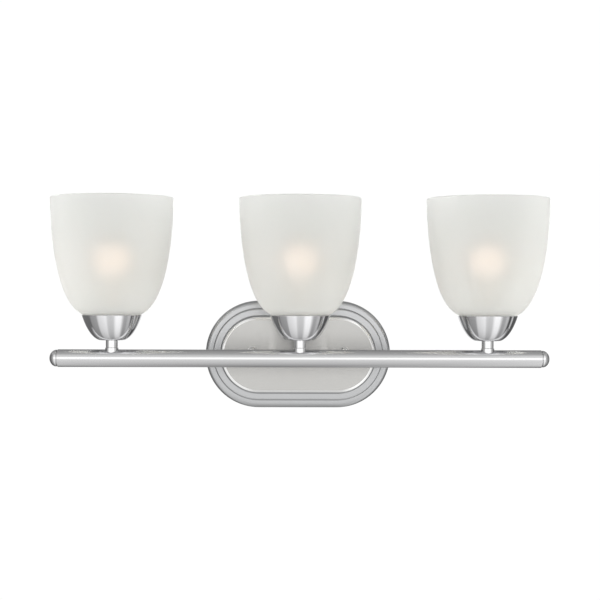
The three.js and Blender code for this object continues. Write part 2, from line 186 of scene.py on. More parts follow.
def make_world():
    """Glossy rays see upright panels and gaps with a bright band ahead, other rays a soft light, and the
    camera a white backdrop.

    Both angles are those of a direction reflected straight ahead: twice its mirror's own turn and tilt.
    """
    world = bpy.data.worlds.new("studio")
    scene.world = world
    world.use_nodes = True
    tree = world.node_tree
    tree.nodes.clear()
    g = Graph(tree)
    x, y, z = g.split(g.node("ShaderNodeTexCoord").outputs["Generated"])
    ahead = g.math("SUBTRACT", 1.0, y)
    reach = g.math("SQRT", g.math("MULTIPLY", ahead, 2.0))
    turn = g.math("MULTIPLY", g.math("ARCTAN2", x, ahead), 360 / math.pi)
    rise = g.math("MULTIPLY", g.math("ARCSINE", g.math("DIVIDE", z, reach)), 360 / math.pi)
    panels = [
        (-180, 0.16), (-92, 0.18), (-84, 0.36), (-57, 0.43), (-50, 0.88), (-18, 1.10), (-11, 0.80),
        (0, 0.74), (12, 0.78), (18, 1.10), (24, 1.26), (42, 1.22), (49, 0.75), (55, 0.48), (65, 0.46),
        (74, 0.62), (82, 0.60), (86, 0.10), (97, 0.10), (101, 0.66), (108, 0.66), (112, 0.10), (180, 0.14),
    ]
    levels = [
        (-180, 0.5), (-107, 0.55), (-87, 0.72), (-57, 0.96), (-30, 1.14), (0, 1.2), (19, 1.25),
        (31, 1.12), (44, 1.0), (57, 0.88), (71, 0.76), (87, 0.68), (105, 0.62), (127, 0.55), (180, 0.5),
    ]
    tent = g.ramp(g.span(turn, -180, 180, 0, 1), [((at + 180) / 360, v) for at, v in panels])
    level = g.ramp(g.span(rise, -180, 180, 0, 1), [((at + 180) / 360, v) for at, v in levels])
    tent = g.mix(g.smooth(rise, 35, 60), tent, CEILING)
    lit = g.mix(1.0, tent, level, "MULTIPLY")
    aside = g.math("ABSOLUTE", turn)
    band = g.math("MULTIPLY", g.smooth(g.math("ABSOLUTE", rise), 15, 10), g.smooth(aside, 56, 46))
    lit = g.mix(band, lit, BAND)
    strip = g.math("MULTIPLY", g.smooth(rise, -2, 2), g.smooth(rise, 14, 10))
    lit = g.mix(g.math("MULTIPLY", strip, g.smooth(aside, 50, 40)), lit, STRIP)
    lit = g.mix(g.smooth(y, 0.83, 0.93), lit, REAR_PATCH)
    soft = g.mix(g.smooth(g.math("ABSOLUTE", x), 0.15, 0.8), SOFT_AHEAD, SOFT_SIDES)
    soft = g.mix(g.smooth(z, 0.3, 0.9), soft, SOFT_ABOVE)
    soft = g.mix(g.smooth(z, 0.1, -0.4), soft, SOFT_BELOW)
    path = g.node("ShaderNodeLightPath")
    lit = g.mix(path.outputs["Is Glossy Ray"], soft, lit)
    surround = g.node("ShaderNodeBackground")
    g.link(lit, surround.inputs[0])
    backdrop = g.node("ShaderNodeBackground")
    backdrop.inputs[0].default_value = (1, 1, 1, 1)
    backdrop.inputs[1].default_value = 1.02
    pick = g.node("ShaderNodeMixShader")
    g.link(path.outputs["Is Camera Ray"], pick.inputs[0])
    g.link(surround.outputs[0], pick.inputs[1])
    g.link(backdrop.outputs[0], pick.inputs[2])
    g.link(pick.outputs[0], g.node("ShaderNodeOutputWorld").inputs[0])


make_world()


def softbox(name, location, target, size, watts):
    data = bpy.data.lights.new(name, "AREA")
    data.shape = "RECTANGLE"
    data.size, data.size_y = size
    data.energy = watts
    lamp = bpy.data.objects.new(name, data)
    lamp.location = location
    aim = Vector(target) - lamp.location
    lamp.rotation_euler = aim.to_track_quat("-Z", "Y").to_euler()
    lamp.visible_camera = False
    lamp.visible_glossy = False
    scene.collection.objects.link(lamp)


softbox("key_softbox", (-0.6, -1.6, 1.0), (0, -0.05, 0.05), (1.2, 0.8), 3)
softbox("left_softbox", (-1.4, -0.15, 0.4), (0, -0.1, 0.08), (1.0, 1.0), 5)
softbox("right_softbox", (1.4, -0.15, 0.4), (0, -0.1, 0.08), (1.0, 1.0), 5)


# ---- Mesh making ----
CORNER_STEPS = 4
WIRE_SIDES = 16
WIRE_STEP = 2.0  # the longest step along a wire


def add_object(name, verts, faces, material, at=(0, 0, 0), sharp=40):
    mesh = bpy.data.meshes.new(name)
    mesh.from_pydata([Vector(v) * MM for v in verts], [], faces)
    mesh.validate()
    made = bmesh.new()
    made.from_mesh(mesh)
    bmesh.ops.recalc_face_normals(made, faces=made.faces)
    made.to_mesh(mesh)
    made.free()
    mesh.shade_smooth()
    mesh.set_sharp_from_angle(angle=math.radians(sharp))
    made = bpy.data.objects.new(name, mesh)
    made.location = Vector(at) * MM
    scene.collection.objects.link(made)
    mesh.materials.append(material)
    made.modifiers.new("weighted_normals", "WEIGHTED_NORMAL").keep_sharp = True
    return made


def rounded(points):
    """Rounds the corners of a [radius, z] outline: a point's third number is its corner's radius."""
    out = []
    for i, point in enumerate(points):
        here = Vector(point[:2])
        radius = point[2] if len(point) > 2 else 0
        if not radius:
            out.append(tuple(here))
            continue
        back = (Vector(points[i - 1][:2]) - here).normalized()
        on = (Vector(points[(i + 1) % len(points)][:2]) - here).normalized()
        half = back.angle(on) / 2
        centre = here + (back + on).normalized() * (radius / math.sin(half))
        start = here + back * (radius / math.tan(half)) - centre
        end = here + on * (radius / math.tan(half)) - centre
        sweep = start.angle(end)
        for k in range(CORNER_STEPS + 1):
            a = sweep * k / CORNER_STEPS
            share = (math.sin(sweep - a) * start + math.sin(a) * end) / math.sin(sweep)
            out.append(tuple(centre + share))
    return out


def bezier(p0, p1, p2, p3, steps, offset=0.0):
    """Points on a cubic curve, set off to its right by offset."""
    points = []
    controls = [Vector(p) for p in (p0, p1, p2, p3)]
    for k in range(steps + 1):
        t = k / steps
        u = 1 - t
        a, b, c, d = controls
        here = u**3 * a + 3 * u * u * t * b + 3 * u * t * t * c + t**3 * d
        along = (3 * u * u * (b - a) + 6 * u * t * (c - b) + 3 * t * t * (d - c)).normalized()
        points.append((here.x + along.y * offset, here.y - along.x * offset))
    return points


def arc(centre, radius, start, end, steps, squash=1.0):
    """Points on a circle's arc in degrees, or an ellipse's with squash on z."""
    points = []
    for k in range(steps + 1):
        a = math.radians(start + (end - start) * k / steps)
        x = centre[0] + radius * math.cos(a)
        points.append((0.0 if abs(x) < 1e-9 else x, centre[1] + squash * radius * math.sin(a)))
    return points


def turned(name, profile, material, at=(0, 0, 0), sides=96, axis="Z", shape=None, sharp=40):
    """A body of revolution. A profile that doesn't start and end on its axis is closed into a ring.

    shape, if given, moves each point: (radius, z, angle) to (radius, z).
    """
    verts, rings = [], []
    for radius, z in profile:
        if radius < 1e-6:
            rings.append([len(verts)])
            verts.append((0.0, 0.0, z))
            continue
        ring = []
        for k in range(sides):
            a = TAU * k / sides
            r, h = shape(radius, z, a) if shape else (radius, z)
            ring.append(len(verts))
            verts.append((r * math.cos(a), r * math.sin(a), h))
        rings.append(ring)
    closed = len(rings[0]) > 1 or len(rings[-1]) > 1
    pairs = list(zip(rings, rings[1:]))
    if closed:
        pairs.append((rings[-1], rings[0]))
    faces = []
    for low, high in pairs:
        for k in range(sides):
            n = (k + 1) % sides
            corner = [low[k % len(low)], low[n % len(low)], high[n % len(high)], high[k % len(high)]]
            corner = list(dict.fromkeys(corner))
            if len(corner) > 2:
                faces.append(corner)
    turn = {
        "Z": lambda v: v,
        "X": lambda v: (v[2], v[0], v[1]),
        "-X": lambda v: (-v[2], -v[0], v[1]),
        "-Y": lambda v: (v[0], -v[2], v[1]),
    }[axis]
    return add_object(name, [turn(v) for v in verts], faces, material, at, sharp)


def thread_wave(turns):
    """A thread's rounded tooth: 0 at the root to 1 at the crest, over one turn."""
    return 0.5 - 0.5 * math.cos(TAU * turns)


def threaded(root, crest, pitch, low, high, run_out=0.6):
    """A shape for turned(): points on the given root radius between low and high take a thread."""

    def shape(radius, z, a):
        if abs(radius - root) > 1e-6 or not low <= z <= high:
            return radius, z
        fade = min(1, (z - low) / (run_out * pitch), (high - z) / (run_out * pitch))
        rise = (crest - root) * thread_wave(z / pitch - a / TAU) * max(0, fade)
        return radius + rise, z
    return shape


def steps_between(low, high, step):
    count = max(1, math.ceil((high - low) / step))
    return [low + (high - low) * k / count for k in range(count + 1)]


def hexed(flats, bevel_low, bevel_high):
    """A shape for turned() that cuts points beyond the flats to a hexagon with chamfered corners."""
    corner = flats / math.sqrt(3)

    def shape(radius, z, a):
        if radius < flats / 2 - 1e-6:
            return radius, z
        across = flats / 2 / math.cos((a + math.pi / 6) % (math.pi / 3) - math.pi / 6)
        depth = min(z - bevel_low, bevel_high - z)
        return min(across, flats / 2 - 0.15 + depth * 1.75, corner), z
    return shape


def smooth_path(points):
    """Points at most a wire's step apart on a centripetal curve through points."""
    path = [Vector(p) for p in points]
    path = [2 * path[0] - path[1], *path, 2 * path[-1] - path[-2]]
    line = []
    for p0, p1, p2, p3 in zip(path, path[1:], path[2:], path[3:]):
        d0, d1, d2 = (math.sqrt((b - a).length) for a, b in ((p0, p1), (p1, p2), (p2, p3)))
        leave = ((p1 - p0) / d0 - (p2 - p0) / (d0 + d1) + (p2 - p1) / d1) * d1
        arrive = ((p2 - p1) / d1 - (p3 - p1) / (d1 + d2) + (p3 - p2) / d2) * d1
        steps = max(3, math.ceil((p2 - p1).length / WIRE_STEP))
        for k in range(steps):
            t = k / steps
            line.append((2 * t**3 - 3 * t * t + 1) * p1 + (t**3 - 2 * t * t + t) * leave
                        + (3 * t * t - 2 * t**3) * p2 + (t**3 - t * t) * arrive)
    line.append(path[-2])
    return line


def tube_along(name, points, radius, surface):
    """A round wire through points, with its length and turn as UV."""
    sides = WIRE_SIDES
    line = smooth_path(points)
    verts, faces, reach = [], [], [0.0]
    start = (line[1] - line[0]).normalized()
    normal = Vector((0, 0, 1)) if abs(start.z) < 0.9 else Vector((1, 0, 0))
    for i, here in enumerate(line):
        along = (line[min(i + 1, len(line) - 1)] - line[max(i - 1, 0)]).normalized()
        normal = (normal - along * normal.dot(along)).normalized()
        other = along.cross(normal)
        for k in range(sides):
            a = TAU * k / sides
            verts.append(here + (normal * math.cos(a) + other * math.sin(a)) * radius)
        if i:
            reach.append(reach[-1] + (here - line[i - 1]).length * MM)
            for k in range(sides):
                n = (k + 1) % sides
                faces.append([(i - 1) * sides + k, (i - 1) * sides + n, i * sides + n, i * sides + k])
    faces.append(list(range(sides))[::-1])
    faces.append([len(verts) - sides + k for k in range(sides)])
    made = add_object(name, verts, faces, surface, sharp=50)
    layer = made.data.uv_layers.new(name="UVMap")
    for face in made.data.polygons:
        turns = [made.data.loops[i].vertex_index % sides for i in face.loop_indices]
        wraps = max(turns) - min(turns) > 1
        for i, turn in zip(face.loop_indices, turns):
            ring = made.data.loops[i].vertex_index // sides
            layer.data[i].uv = (reach[ring], (turn or (sides if wraps else 0)) / sides)
    return made


def cut_away(piece, tool):
    """Takes tool's volume out of piece, and deletes tool."""
    cut = piece.modifiers.new("cut", "BOOLEAN")
    cut.operation = "DIFFERENCE"
    cut.solver = "EXACT"
    cut.object = tool
    piece.modifiers.remove(piece.modifiers["weighted_normals"])
    bpy.context.view_layer.update()
    done = bpy.data.meshes.new_from_object(piece.evaluated_get(bpy.context.evaluated_depsgraph_get()))
    piece.modifiers.clear()
    piece.data = done
    done.set_sharp_from_angle(angle=math.radians(30))
    piece.modifiers.new("weighted_normals", "WEIGHTED_NORMAL").keep_sharp = True
    bpy.data.objects.remove(tool)
    return piece


def stands_for(piece, node):
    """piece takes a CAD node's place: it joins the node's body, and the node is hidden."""
    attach(piece, frame["nodes"][node]["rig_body"])
    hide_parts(node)


# ---- Materials ----
def material(name):
    made = bpy.data.materials.new(name)
    made.use_nodes = True
    return made, Graph(made.node_tree), made.node_tree.nodes["Principled BSDF"]


def grain_along_x(g, x, y, z):
    return g.join(g.math("MULTIPLY", x, 22), g.math("MULTIPLY", y, 2600), g.math("MULTIPLY", z, 2600))


def grain_round_z(g, x, y, z):
    radius = g.math("SQRT", g.math("ADD", g.math("MULTIPLY", x, x), g.math("MULTIPLY", y, y)))
    turn = g.math("MULTIPLY", g.math("ARCTAN2", y, x), 1.6)
    return g.join(g.math("MULTIPLY", radius, 2200), turn, g.math("MULTIPLY", z, 2200))


def grain_round_y(g, x, y, z):
    return grain_round_z(g, x, z, y)


def grain_even(g, x, y, z):
    return g.join(g.math("MULTIPLY", x, 420), g.math("MULTIPLY", y, 420), g.math("MULTIPLY", z, 420))


def metal(name, colour, rough, grain, vary=0.08, tint=0.05, relief=0.000004,
          stretch=0.0, spin=0.0, tangent=None, edge=1.0):
    """Metal with a grain: brushed lines, a little uneven in gloss and colour, that catch the light."""
    made, g, shader = material(name)
    coords = g.node("ShaderNodeTexCoord").outputs["Object"]
    lines = g.noise(grain(g, *g.split(coords)), 1.0, 4.0, 0.62)
    clouds = g.noise(coords, 26.0, 3.0, 0.5)
    uneven = g.math("ADD", g.math("MULTIPLY", lines, 0.7), g.math("MULTIPLY", clouds, 0.3))
    g.link(g.span(uneven, 0.3, 0.7, rough - vary / 2, rough + vary / 2), shader.inputs["Roughness"])
    darker = tuple(c * (1 - tint) for c in colour)
    g.link(g.mix(g.span(uneven, 0.3, 0.7, 0, 1), darker, colour), shader.inputs["Base Color"])
    g.link(g.bump(lines, 0.35, relief), shader.inputs["Normal"])
    shader.inputs["Metallic"].default_value = 1
    shader.inputs["Specular Tint"].default_value = (edge, edge, edge, 1)
    shader.inputs["Anisotropic"].default_value = stretch
    shader.inputs["Anisotropic Rotation"].default_value = spin
    if tangent:
        g.link(g.node("ShaderNodeTangent", direction_type="RADIAL", axis=tangent).outputs[0],
               shader.inputs["Tangent"])
    return made


def plain(name, colour, rough, scale, relief, tint=0.06, coat=0.0, specular=0.5):
    """Moulded, glazed or woven stuff: colour and gloss vary softly, over a fine relief."""
    made, g, shader = material(name)
    coords = g.node("ShaderNodeTexCoord").outputs["Object"]
    fine = g.noise(coords, scale, 4.0, 0.6)
    broad = g.noise(coords, scale / 14, 2.0, 0.5)
    darker = tuple(c * (1 - tint) for c in colour)
    g.link(g.mix(g.span(broad, 0.3, 0.7, 0, 1), darker, colour), shader.inputs["Base Color"])
    g.link(g.span(fine, 0.3, 0.7, rough - 0.05, rough + 0.05), shader.inputs["Roughness"])
    g.link(g.bump(fine, 0.4, relief), shader.inputs["Normal"])
    shader.inputs["Coat Weight"].default_value = coat
    shader.inputs["Specular IOR Level"].default_value = specular
    return made


def frosted_glass():
    """Etched glass: light goes through it spread out, and it takes a soft, faintly green white. Its lower
    part glows faintly: painted light that brightens the glass towards its foot.
    """
    made, g, shader = material("frosted_glass")
    coords = g.node("ShaderNodeTexCoord").outputs["Object"]
    cloud = g.noise(coords, 18.0, 3.0, 0.5)
    etch = g.noise(coords, 2600.0, 2.0, 0.6)
    colour = g.mix(g.span(cloud, 0.3, 0.7, 0, 1), (0.935, 0.945, 0.93), (0.955, 0.96, 0.95))
    g.link(colour, shader.inputs["Base Color"])
    g.link(g.span(etch, 0.3, 0.7, 0.40, 0.48), shader.inputs["Roughness"])
    relief = g.bump(etch, 0.25, 0.000006)
    g.link(relief, shader.inputs["Normal"])
    shader.inputs["Transmission Weight"].default_value = 1.0
    shader.inputs["IOR"].default_value = 1.3
    # painted light: the glass glows faintly, most at its foot and fading out up its height, though it is no
    # lamp
    shader.inputs["Emission Color"].default_value = (1.0, 0.985, 0.95, 1)
    g.link(g.span(g.split(coords)[2], 0.05, 0.16, 0.09, 0.0), shader.inputs["Emission Strength"])
    through = g.node("ShaderNodeBsdfTranslucent")
    g.link(colour, through.inputs[0])
    g.link(relief, through.inputs["Normal"])
    back = g.node("ShaderNodeBsdfDiffuse")
    g.link(colour, back.inputs[0])
    soft = g.node("ShaderNodeMixShader")
    soft.inputs[0].default_value = 0.45
    g.link(through.outputs[0], soft.inputs[1])
    g.link(back.outputs[0], soft.inputs[2])
    mixed = g.node("ShaderNodeMixShader")
    mixed.inputs[0].default_value = 0.5
    g.link(shader.outputs[0], mixed.inputs[1])
    g.link(soft.outputs[0], mixed.inputs[2])
    g.link(mixed.outputs[0], made.node_tree.nodes["Material Output"].inputs[0])
    return made


def lamp_glass():
    """A bulb frosted on its inside."""
    made, g, shader = material("lamp_glass")
    coords = g.node("ShaderNodeTexCoord").outputs["Object"]
    fine = g.noise(coords, 900.0, 3.0, 0.6)
    shader.inputs["Base Color"].default_value = (0.97, 0.96, 0.94, 1)
    g.link(g.span(fine, 0.3, 0.7, 0.24, 0.32), shader.inputs["Roughness"])
    g.link(g.bump(fine, 0.3, 0.000005), shader.inputs["Normal"])
    shader.inputs["Transmission Weight"].default_value = 0.85
    shader.inputs["IOR"].default_value = 1.12
    return made


def lamp_glow():
    """The lit capsule in the middle of the bulb, brightest at its own middle."""
    made, g, shader = material("lamp_capsule")
    coords = g.node("ShaderNodeTexCoord").outputs["Object"]
    height = g.split(coords)[2]
    fine = g.noise(coords, 700.0, 3.0, 0.6)
    glow = g.math("MULTIPLY", g.smooth(height, 0.080, 0.104), g.smooth(height, 0.136, 0.112))
    shader.inputs["Base Color"].default_value = (0.95, 0.92, 0.87, 1)
    g.link(g.span(fine, 0.3, 0.7, 0.38, 0.48), shader.inputs["Roughness"])
    shader.inputs["Emission Color"].default_value = (1.0, 0.68, 0.50, 1)
    g.link(g.span(glow, 0, 1, 0.2, 1.4), shader.inputs["Emission Strength"])
    return made


def sleeve_weave():
    """A woven glass-fibre sleeve, from the tube's own lengthwise and round coordinates."""
    made, g, shader = material("sleeve_weave")
    u, v, _ = g.split(g.node("ShaderNodeTexCoord").outputs["UV"])
    slant = [
        g.math("SINE", g.math("ADD", g.math("MULTIPLY", u, 5200), g.math("MULTIPLY", v, k * TAU * 8)))
        for k in (-1, 1)
    ]
    weave = g.math("MULTIPLY_ADD", g.math("MULTIPLY", *slant), 0.5)
    weave.node.inputs[2].default_value = 0.5
    g.link(g.mix(weave, (0.62, 0.59, 0.52), (0.86, 0.84, 0.78)), shader.inputs["Base Color"])
    g.link(g.span(weave, 0, 1, 0.78, 0.6), shader.inputs["Roughness"])
    g.link(g.bump(weave, 0.7, 0.00008), shader.inputs["Normal"])
    return made


NICKEL = (0.70, 0.70, 0.705)
bar_nickel = metal("bar_nickel", NICKEL, 0.17, grain_along_x, 0.05, relief=0.0000015,
                   stretch=0.2, tangent="X", edge=0.5)
cup_nickel = metal("cup_nickel", (0.72, 0.72, 0.73), 0.11, grain_round_z, 0.06, stretch=0.6, spin=0.25)
ring_nickel = metal("ring_nickel", (0.47, 0.475, 0.48), 0.32, grain_even, 0.06, relief=0.000008)
panel_nickel = metal("panel_nickel", (0.49, 0.485, 0.47), 0.22, grain_along_x, 0.05, 0.03, 0.000002,
                     stretch=0.96, tangent="X")
# the plate's bevel band gets a much lighter copy of the plate's nickel: a painted highlight along the
# panel's edge
bevel_painted_highlight = metal("bevel_painted_highlight", (0.86, 0.86, 0.85), 0.22, grain_even, 0.05, relief=0.000004)
arm_nickel = metal("arm_nickel", NICKEL, 0.24, grain_round_y, stretch=0.3)
polished = metal("polished_nickel", (0.80, 0.80, 0.80), 0.08, grain_round_z, 0.04, 0.03)
polished_y = metal("polished_nickel_nuts", (0.80, 0.80, 0.80), 0.09, grain_round_y, 0.04, 0.03)
zinc = metal("zinc_plate", (0.60, 0.61, 0.63), 0.38, grain_even, 0.14, 0.14, 0.00001)
brass = metal("rolled_brass", (0.72, 0.55, 0.27), 0.30, grain_round_z, 0.12, 0.12)
copper = metal("bare_copper", (0.72, 0.38, 0.22), 0.32, grain_even, 0.12, 0.2)
green = metal("green_plate", (0.10, 0.34, 0.16), 0.38, grain_even, 0.1, 0.2)
porcelain = plain("glazed_porcelain", (0.88, 0.86, 0.81), 0.18, 300, 0.00001, 0.05, 0.4)
fibre = plain("pressed_fibre", (0.035, 0.032, 0.03), 0.8, 1500, 0.00004, 0.3)
black_glass = plain("insulating_glass", (0.012, 0.012, 0.014), 0.12, 400, 0.000008, 0.3, 0.3)
orange = plain("moulded_orange", (0.72, 0.27, 0.05), 0.42, 900, 0.00001, 0.1)
white_jacket = plain("white_jacket", (0.78, 0.76, 0.70), 0.45, 700, 0.00001, 0.08)
black_jacket = plain("black_jacket", (0.02, 0.02, 0.021), 0.4, 700, 0.00001, 0.3)
glass = frosted_glass()
bulb = lamp_glass()
capsule = lamp_glow()
weave = sleeve_weave()


# ---- Where things are ----
def middle(node):
    low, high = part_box(node)
    return (low + high) / 2 / MM


BAR_RADIUS = 9.7
BAR_BORE = BAR_RADIUS - 1.0
SADDLE_GAP = 0.03
ARM_X = 30
FIXING_X, FIXING_Z = 53.2, 4.2
STUD_HOLE = 2.5
TUBE_HOLE = 5.05  # clears the thread of an arm or a stem
TUBE_THREAD = {"root": 4.35, "crest": 4.8, "pitch": 25.4 / 27}
NUT_FLATS, WIDE_NUT_FLATS = 12, 14
NUT_THICK = 2.6
NUT_GAP = 0.2
NUT_SEAT = math.sqrt(BAR_BORE**2 - (NUT_FLATS / 2) ** 2) - NUT_GAP  # where a nut inside the bar bears
REACH = -middle("bar_tube").y
STATIONS = ("left", "center", "right")
SIDES = (("left", -1), ("right", 1))


def saddle(radius, a):
    """How far from the bar's axis a tube's end is at that angle round it, just clear of the bar."""
    return math.sqrt((BAR_RADIUS + SADDLE_GAP) ** 2 - (radius * math.sin(a)) ** 2)


# ---- Wall plate ----
PLATE_HALF = 45.4
PLATE_SHEET = 0.9
PLATE_FRONT = 21.9
PLATE_SHOULDER = 20.2
PLATE_RIM, PLATE_TIER, PLATE_TOP, PANEL_EDGE = 62.4, 53.4, 44.8, 40.8  # radii of its round ends
RIM_HEIGHT, TIER_HEIGHT = 6.5, 13


def racetrack_ring(radius, height, arc_steps=48, straight_steps=6):
    ring = []
    for side in (1, -1):
        for k in range(arc_steps + 1):
            a = -math.pi / 2 + math.pi * k / arc_steps + (0 if side > 0 else math.pi)
            ring.append((side * PLATE_HALF + radius * math.cos(a), -height, radius * math.sin(a)))
        for k in range(1, straight_steps):
            x = side * PLATE_HALF * (1 - 2 * k / straight_steps)
            ring.append((x, -height, side * radius))
    return ring


def make_backplate():
    s, flat = PLATE_SHEET, 36
    outside = rounded([
        (PLATE_RIM - s, 0), (PLATE_RIM, 0), (PLATE_RIM, RIM_HEIGHT, 5.0), (PLATE_TIER, RIM_HEIGHT, 0.6),
        (PLATE_TIER, TIER_HEIGHT, 2.2), (PLATE_TOP, TIER_HEIGHT, 1.2), (PLATE_TOP, PLATE_SHOULDER, 2.6),
        (PANEL_EDGE, PLATE_FRONT, 1.4), (flat, PLATE_FRONT),
    ])
    inside = rounded([
        (flat, PLATE_FRONT - s), (PANEL_EDGE - s, PLATE_FRONT - s, 0.8),
        (PLATE_TOP - s, PLATE_SHOULDER - s, 0.4), (PLATE_TOP - s, TIER_HEIGHT - s, 1.2),
        (PLATE_TIER - s, TIER_HEIGHT - s, 1.0), (PLATE_TIER - s, RIM_HEIGHT - s, 1.2),
        (PLATE_RIM - s, RIM_HEIGHT - s, 4.1), (PLATE_RIM - s, 0),
    ])[:-1]
    rings = [racetrack_ring(radius, height) for radius, height in outside + inside]
    verts = [v for ring in rings for v in ring]
    n = len(rings[0])
    count = len(rings)
    faces = [
        [i * n + k, i * n + (k + 1) % n, (i + 1) % count * n + (k + 1) % n, (i + 1) % count * n + k]
        for i in range(count) if i != len(outside) - 1 for k in range(n)
    ]
    first = (len(outside) - 1) * n
    faces.append([first + k for k in range(n)])
    faces.append([first + n + k for k in range(n)][::-1])
    plate = add_object("backplate_shell", verts, faces, ring_nickel, sharp=60)
    plate.data.materials.append(panel_nickel)
    plate.data.materials.append(bevel_painted_highlight)
    for face in plate.data.polygons:
        height = -face.center.y / MM
        if height > PLATE_FRONT - 0.02:
            face.material_index = 1
        # faces on the bevel band take the lighter nickel: a painted highlight
        elif height > PLATE_SHOULDER + 0.6:
            face.material_index = 2
    holes = []
    for _, side in SIDES:
        for x, z, radius in ((side * ARM_X, 0, TUBE_HOLE), (side * FIXING_X, FIXING_Z, STUD_HOLE)):
            disc = [(0, 15), (radius, 15), (radius, 30), (0, 30)]
            holes.append(turned("hole", disc, zinc, (x, 0, z), 48, "-Y"))
    for hole in holes:
        cut_away(plate, hole)
    stands_for(plate, "backplate")


make_backplate()


def flat_plate(name, outlines, thick, bevel, surface, at):
    """A sheet cut to outlines, its first the edge and the rest holes, that stands out from the wall."""
    curve = bpy.data.curves.new(name, "CURVE")
    curve.dimensions = "2D"
    curve.fill_mode = "BOTH"
    curve.extrude = (thick / 2 - bevel) * MM
    curve.bevel_depth = bevel * MM
    curve.bevel_resolution = 1
    curve.offset = -bevel * MM
    for outline in outlines:
        spline = curve.splines.new("POLY")
        spline.points.add(len(outline) - 1)
        for point, (x, z) in zip(spline.points, outline):
            point.co = (x * MM, z * MM, 0, 1)
        spline.use_cyclic_u = True
    drawn = bpy.data.objects.new(name, curve)
    scene.collection.objects.link(drawn)
    bpy.context.view_layer.update()
    mesh = bpy.data.meshes.new_from_object(drawn.evaluated_get(bpy.context.evaluated_depsgraph_get()))
    bpy.data.objects.remove(drawn)
    sheet = bmesh.new()
    sheet.from_mesh(mesh)
    bmesh.ops.remove_doubles(sheet, verts=sheet.verts, dist=1e-6)
    for vert in sheet.verts:
        vert.co = (vert.co.x, -vert.co.z, vert.co.y)
    bmesh.ops.recalc_face_normals(sheet, faces=sheet.faces)
    sheet.to_mesh(mesh)
    sheet.free()
    mesh.materials.clear()
    mesh.materials.append(surface)
    mesh.shade_smooth()
    mesh.set_sharp_from_angle(angle=math.radians(50))
    made = bpy.data.objects.new(name, mesh)
    made.location = Vector(at) * MM
    scene.collection.objects.link(made)
    made.modifiers.new("weighted_normals", "WEIGHTED_NORMAL").keep_sharp = True
    return made


EARTH_X, EARTH_Z = 10, 9


def make_strap():
    x, z = FIXING_X, FIXING_Z
    half_width, thick = 9.5, 1.6
    slot_middle, slot_half, slot_radius = 35, 7, 2.4

    def long_hole(side):
        right = arc((side * slot_middle + slot_half, z), slot_radius, -90, 90, 10)
        return right + arc((side * slot_middle - slot_half, z), slot_radius, 90, 270, 10)

    outlines = [
        arc((x, z), half_width, -90, 90, 24) + arc((-x, z), half_width, 90, 270, 24),
        *[long_hole(side) for side in (-1, 1)],
        *[arc((side * x, z), STUD_HOLE, 0, 345, 23) for side in (-1, 1)],
        arc((EARTH_X, EARTH_Z), 1.9, 0, 345, 23),
    ]
    strap = flat_plate("mounting_strap_plate", outlines, thick, 0.2, zinc, (0, -thick / 2, 0))
    stands_for(strap, "mounting_strap")


make_strap()


def hex_nut(node, flats, low, at, axis="-Y"):
    high = low + NUT_THICK
    hole = TUBE_HOLE
    levels = [low, low + 0.2, low + 0.45, low + 0.7, high - 0.7, high - 0.45, high - 0.2, high]
    profile = [(hole, low + 0.35), (hole + 0.35, low), (flats / 2 - 0.6, low)]
    profile += [(flats, level) for level in levels]
    profile += [(flats / 2 - 0.6, high), (hole + 0.35, high), (hole, high - 0.35)]
    stands_for(turned(f"{node}_hex", profile, zinc, at, 96, axis, hexed(flats, low, high), 25), node)


def make_fixings():
    pitch = 25.4 / 32
    for name, side in SIDES:
        at = (side * FIXING_X, 0, FIXING_Z)
        length = 30.5
        root = 1.72
        rows = [(root, z) for z in steps_between(0.6, length - 0.7, pitch / 8)]
        stud = turned(
            f"mounting_stud_{name}_thread",
            [(0, 0.2), (root - 0.3, 0.2), *rows, (root - 0.5, length), (0, length)],
            zinc, at, 32, "-Y", threaded(root, 2.1, pitch, 0.6, length - 0.7),
        )
        stands_for(stud, f"mounting_stud_{name}")
        low = PLATE_FRONT + 0.1
        washer = rounded([
            (STUD_HOLE, low, 0.15), (5.5, low, 0.3), (5.5, low + 0.9, 0.3), (STUD_HOLE, low + 0.9, 0.15),
        ])
        stands_for(turned(f"nut_washer_{name}_disc", washer, fibre, at, 64, "-Y"), f"nut_washer_{name}")
        low += 1.0
        crown = arc((0, low + 3.9), 5.05, 0, 90, 16, squash=5.1 / 5.05)
        outside = rounded([
            (STUD_HOLE, low + 0.4), (2.9, low, 0.1), (5.5, low, 0.5), (5.5, low + 3.3, 0.5),
            (5.05, low + 3.5, 0.15),
        ])
        bore = [(0, low + 7.8), (2.2, low + 6.9), (2.2, low + 0.6)]
        nut = turned(f"cap_nut_{name}_crown", bore + outside + crown, polished_y, at, 64, "-Y")
        stands_for(nut, f"cap_nut_{name}")


make_fixings()


def make_earth():
    at = (EARTH_X, 0, EARTH_Z)
    flats = 5.6
    low, high = 3.5, 6.2
    levels = [low + 0.75, low + 0.8, high - 0.5, high - 0.25, high]
    profile = [(0, 0.2), (1.55, 0.2), (1.55, low), (3.5, low), (3.6, low + 0.2), (3.5, low + 0.5)]
    profile += [(flats, level) for level in levels]
    profile += [(flats / 2 - 0.5, high), (0, high)]
    screw = turned("ground_screw_head", profile, green, at, 48, "-Y", hexed(flats, -9, high), 25)
    slot = turned("slot", [(0, 5.0), (4.4, 5.0), (4.4, 9), (0, 9)], green, at, 4, "-Y")
    for vert in slot.data.vertices:
        vert.co.z *= 0.11
    cut_away(screw, slot)
    stands_for(screw, "ground_screw")
    hook = [(EARTH_X + 2.55 * math.cos(a), -2.65, EARTH_Z + 2.55 * math.sin(a))
            for a in (math.radians(d) for d in range(80, 361, 28))]
    route = hook + [
        (13.6, -2.75, 10.4), (17, -3.6, 11.4), (22, -9, 15),
        (19.5, -16, 18.5), (12, -19.6, 19), (6, -20, 19),
    ]
    wire = tube_along("ground_wire_strand", route, 0.8, copper)
    stands_for(wire, "ground_wire")


make_earth()


